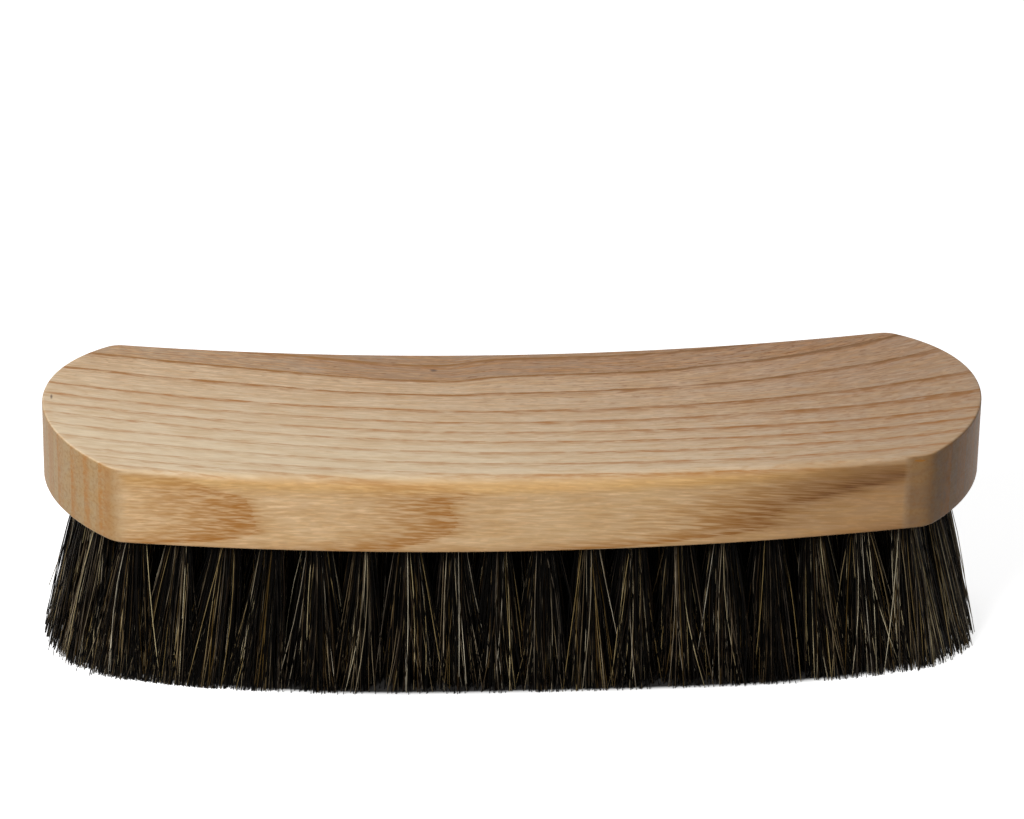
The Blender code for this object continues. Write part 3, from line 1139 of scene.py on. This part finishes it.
@dataclass(frozen=True)
class HairTufts:
    """Tufts of hair: each leans out square to the underside and fans out from its hole to its tips."""

    saddle: Saddle
    tufts: TuftField
    sole: Sole
    underside: float = 0.0325
    hair_length: float = 0.033
    root_inside: float = 0.0028
    hairs_in_tuft: int = 280
    hair_radius: float = 0.00013
    tip_radius: float = 0.0001
    root_spread: float = 0.0022
    tip_spread: float = 0.0056
    spread_change: float = 0.16
    turn_change: float = 0.45
    tip_shift: float = 0.0004
    stray_share: float = 0.07
    stray_reach: tuple[float, float] = (0.0005, 0.005)
    clumps: int = 16
    clump_lean: float = 0.0013
    clump_bow: float = 0.0006
    hair_bow: float = 0.0004
    tuft_lean: float = 0.0011
    opening: tuple[float, float] = (1.0, 1.4)
    trim_change: float = 0.0002
    short_share: float = 0.06
    short_by: float = 0.004
    side_flare: float = 0.15
    end_flare: float = 0.0045
    end_flare_power: int = 3
    bend: float = 1.35
    flat_cut: float = 0.94
    tip_clearance: float = 0.00005
    segments: int = 5
    sides: int = 3
    # Light hairs are the rarer ones, with more of them at both ends, above all at the right.
    shade_mix: tuple[float, float] = (0.85, 1.45)
    light_ends: float = 0.12
    light_ends_power: int = 6
    light_right: float = 0.1
    light_right_power: int = 4
    warmth: tuple[float, float] = (0.55, 1.1)
    seed: int = 7

    def centre_lines(self, places: Floats, y: float, rng: np.random.Generator) -> Floats:
        """Centre line of every hair of one section.

        A hair starts at a random place in its tuft's hole. Its sideways way to its tip grows with a
        power of its depth a little above one, and a bow of half a sine wave is added. Each tuft has
        a few clumps, whose hairs lean and bow alike. Strays part further, and a few hairs are short.
        Tips that would stand outside the sole's outline are drawn in to it.

        Args:
            places: X of each tuft of the section.
            y: Y of the row.
            rng: Source of the random numbers.

        Returns:
            Points by hair and station.
        """
        count = len(places) * self.hairs_in_tuft
        tuft = np.repeat(np.arange(len(places)), self.hairs_in_tuft)
        tuft_x = places[tuft]
        clump = rng.integers(0, self.clumps, count) + tuft * self.clumps
        clump_count = clump.max() + 1
        angle = rng.uniform(0, 2 * math.pi, count)
        out = np.sqrt(rng.uniform(0, 1, count))
        start = self.root_spread * out[:, None] * np.stack([np.cos(angle), np.sin(angle)], 1)
        turned = angle + rng.normal(0, self.turn_change, count)
        reach = self.tip_spread * out * rng.normal(1, self.spread_change, count)
        stray = rng.uniform(0, 1, count) < self.stray_share
        reach += np.where(stray, rng.uniform(*self.stray_reach, count), 0)
        end = reach[:, None] * np.stack([np.cos(turned), np.sin(turned)], 1)
        end += rng.normal(0, self.tip_shift, (count, 2))
        end += rng.normal(0, self.clump_lean, (clump_count, 2))[clump]
        end += rng.normal(0, self.tuft_lean, (len(places), 2))[tuft]
        share = np.linspace(0, 1, self.segments + 1)
        way = share[None, :] ** rng.uniform(*self.opening, count)[:, None]
        bow = rng.normal(0, self.hair_bow, (count, 2))
        bow += rng.normal(0, self.clump_bow, (clump_count, 2))[clump]
        plan = start[:, None] + (end - start)[:, None] * way[:, :, None]
        plan += bow[:, None] * np.sin(math.pi * share)[None, :, None]
        trim = -np.abs(rng.normal(0, self.trim_change, count))
        short = rng.uniform(0, 1, count) < self.short_share
        trim -= np.where(short, rng.uniform(0, self.short_by, count), 0)
        below = -self.root_inside + (self.hair_length + self.root_inside + trim)[:, None] * share[None, :]
        lean = np.clip(below / self.hair_length, 0, None) ** self.bend
        far = np.abs(tuft_x) / self.tufts.reach
        end_lean = self.end_flare * np.sign(tuft_x) * far**self.end_flare_power
        x = tuft_x[:, None] * (1 + below / self.saddle.radius) + end_lean[:, None] * lean + plan[:, :, 0]
        across = y * (1 + self.side_flare * lean) + plan[:, :, 1]
        pull_x, pull_y = self.sole.pull(x[:, -1], across[:, -1])
        x += pull_x[:, None] * lean
        across += pull_y[:, None] * lean
        # The hair is longer towards the ends, where the block stands higher, so that its tips are flat.
        height = self.underside - below + self.saddle.lift(x) * (1 - self.flat_cut * lean)
        return np.stack([x, across, np.maximum(height, self.tip_clearance)], -1)

    def tubes(self, lines: Floats) -> tuple[Floats, Faces]:
        """Three-sided tube round each centre line, narrowing a little to a closed blunt tip.

        Args:
            lines: Points by hair and station.

        Returns:
            Points and triangles.
        """
        count, stations = lines.shape[:2]
        along = np.gradient(lines, axis=1)
        along /= np.linalg.norm(along, axis=2, keepdims=True)
        across = np.cross(along, (0.0, 1.0, 0.0))
        across /= np.linalg.norm(across, axis=2, keepdims=True)
        other = np.cross(along, across)
        radius = np.linspace(self.hair_radius, self.tip_radius, stations)[None, :, None, None]
        turn = np.linspace(0, 2 * math.pi, self.sides, endpoint=False)[None, None, :, None]
        spoke = across[:, :, None] * np.cos(turn) + other[:, :, None] * np.sin(turn)
        points = lines[:, :, None] + radius * spoke
        points[..., 2] = np.maximum(points[..., 2], 0)
        step, side = np.meshgrid(np.arange(stations - 1), np.arange(self.sides), indexing="ij")
        after = (side + 1) % self.sides
        a, b = step * self.sides + side, step * self.sides + after
        c, d = b + self.sides, a + self.sides
        strip = [np.stack(corners, -1).reshape(-1, 3) for corners in ([a, c, b], [a, d, c])]
        last = (stations - 1) * self.sides
        faces = np.concatenate([*strip, np.array([[0, 1, 2], [last, last + 2, last + 1]])])
        faces = faces[None] + (np.arange(count) * stations * self.sides)[:, None, None]
        return points.reshape(-1, 3), faces.reshape(-1, 3)

    def build(self, hair: Material) -> None:
        """Make the hairs of every section of a row, one piece each.

        Args:
            hair: Material of the hairs.
        """
        for number, (name, y, places) in enumerate(self.tufts.sections()):
            rng = np.random.default_rng((self.seed, number))
            lines = self.centre_lines(places, y, rng)
            count, stations = lines.shape[:2]
            piece = add_piece(name.replace("tufts", "hair"), *self.tubes(lines))
            far = np.repeat(places, self.hairs_in_tuft) / self.tufts.reach
            shade = rng.beta(*self.shade_mix, count)
            shade += self.light_ends * far**self.light_ends_power
            shade += self.light_right * np.clip(far, 0, 1) ** self.light_right_power
            warmth = rng.uniform(*self.warmth, count)
            tip = np.repeat(np.linspace(0, 1, stations), self.sides)
            set_attribute(piece, "shade", np.repeat(np.minimum(shade, 1), len(tip)))
            set_attribute(piece, "warmth", np.repeat(warmth, len(tip)))
            set_attribute(piece, "tip", np.tile(tip, count))
            dress(piece, hair, Slot.HAIR, name)


@dataclass(frozen=True)
class SoftLamp:
    """Square soft lamp that faces the brush."""

    name: str
    place: Triple
    size: float
    watts: float
    target: Triple = (0, 0, 0.04)

    def build(self) -> None:
        """Add the lamp to the scene."""
        data = bpy.data.lights.new(self.name, "AREA")
        data.shape = "SQUARE"
        data.size = self.size
        data.energy = self.watts
        lamp = bpy.data.objects.new(self.name, data)
        lamp.location = self.place
        lamp.rotation_euler = (Vector(self.target) - lamp.location).to_track_quat("-Z", "Y").to_euler()
        bpy.context.scene.collection.objects.link(lamp)


@dataclass(frozen=True)
class Studio:
    """Pale floor, soft lamps and the camera at the photograph's angle."""

    sole: Sole
    distance: float = 1.0
    focal_pixels: float = 4619.3
    image_width: int = 1024
    sensor_width: float = 36
    clip: tuple[float, float] = (0.01, 20)
    elevation: float = 25.126
    yaw: float = 4.693
    roll: float = -1.002
    shift_right: float = -0.000374
    shift_up: float = 0.001167
    target_height: float = 0.0497
    lamps: tuple[SoftLamp, ...] = (
        SoftLamp("key", (-0.296, -0.421, 0.4), 0.28, 3.75),
        SoftLamp("back", (-0.35, 0.9, 0.9), 0.8, 3.0),
    )
    fill: float = 0.15
    floor_half: float = 6
    floor_seen: str = "e6e6e6"
    floor_plain: str = "5c5c5c"
    painted_shadow_under_tips: str = "272422"
    # How far the painted shadow under the tips and the white round them are moved out from the sole's
    # outline, and the levels of both on the way from the one to the other.
    dark: tuple[float, float] = (-0.0085, -0.0015)
    white: tuple[float, float] = (-0.0045, 0.001)
    pale_span: Span = (-0.05, 0.35, 0.03, 1.0)
    lift_span: Span = (0.0, 1.0, 0.0, 0.8)

    def add_camera(self) -> None:
        """Place the camera: turned about Z by the yaw, tipped down by the elevation, then rolled."""
        yaw, tip, roll = (
            Matrix.Rotation(math.radians(angle), 4, axis)
            for angle, axis in ((-self.yaw, "Z"), (90 - self.elevation, "X"), (-self.roll, "Z"))
        )
        eye = yaw @ tip @ Vector((self.shift_right, self.shift_up, self.distance))
        data = bpy.data.cameras.new("camera")
        data.sensor_width = self.sensor_width
        data.sensor_fit = "HORIZONTAL"
        data.lens = self.focal_pixels * self.sensor_width / self.image_width
        data.clip_start, data.clip_end = self.clip
        camera = bpy.data.objects.new("camera", data)
        camera.matrix_world = Matrix.Translation(eye + Vector((0, 0, self.target_height))) @ yaw @ tip @ roll
        bpy.context.scene.collection.objects.link(camera)
        bpy.context.scene.camera = camera

    def add_world(self) -> None:
        """White to the camera and in reflections, a soft fill for everything else."""
        world = bpy.data.worlds.new("studio")
        world.use_nodes = True
        bpy.context.scene.world = world
        add = partial(add_node, world.node_tree)
        level = add("MapRange", seen_directly(add), 0.0, 1.0, self.fill, 1.0)
        feed(world.node_tree.nodes["Background"], {"Color": WHITE, "Strength": level})

    def add_floor(self) -> None:
        """Pale matt floor, lifted to white for the camera, taking the brush's shadow and a painted shadow
        under the tips.
        """
        half = self.floor_half
        corners = np.array([(-half, -half, 0), (half, -half, 0), (half, half, 0), (-half, half, 0)])
        floor = add_piece("floor", corners, np.array([[0, 1, 2, 3]]))
        material, add = start_material("studio_floor")
        nodes = material.node_tree.nodes
        nodes.remove(nodes["Principled BSDF"])
        # Under the tips the floor's colour is dark, a painted shadow where little light comes in, and outside
        # them the floor is lifted to white.
        place = add("TexCoord").node.outputs["Object"]
        inner, outer = (self.sole.gauge(add, place, grown) for grown in (self.dark, self.white))
        over = add("SUBTRACT", inner, 1.0)
        whole = add("SUBTRACT", inner, outer)
        away = add("DIVIDE", over, whole)
        pale = add("MapRange", away, *self.pale_span)
        matt = add("BsdfDiffuse", coat(add, self.painted_shadow_under_tips, (self.floor_seen, pale)))
        level = add("MapRange", away, *self.lift_span, interpolation_type="SMOOTHSTEP")
        lifted = add("AddShader", matt, add("Emission", WHITE, level))
        plain = add("BsdfDiffuse", self.floor_plain)
        mixed = add("MixShader", seen_directly(add), plain, lifted)
        feed(nodes["Material Output"], {"Surface": mixed})
        floor.data.materials.append(material)

    def build(self) -> None:
        """Set up the studio."""
        bpy.context.scene.view_settings.view_transform = "Standard"
        self.add_camera()
        self.add_world()
        self.add_floor()
        for lamp in self.lamps:
            lamp.build()


def main() -> None:
    """Build the brush's looks and the studio round it."""
    saddle = Saddle()
    tufts = TuftField()
    sole = Sole()
    Studio(sole).build()
    WoodenBlock(saddle, tufts).build(AshWood().build(), GrowthRings(), SideFlames())
    HairTufts(saddle, tufts, sole).build(Horsehair().build())


if __name__ == "__main__":
    main()
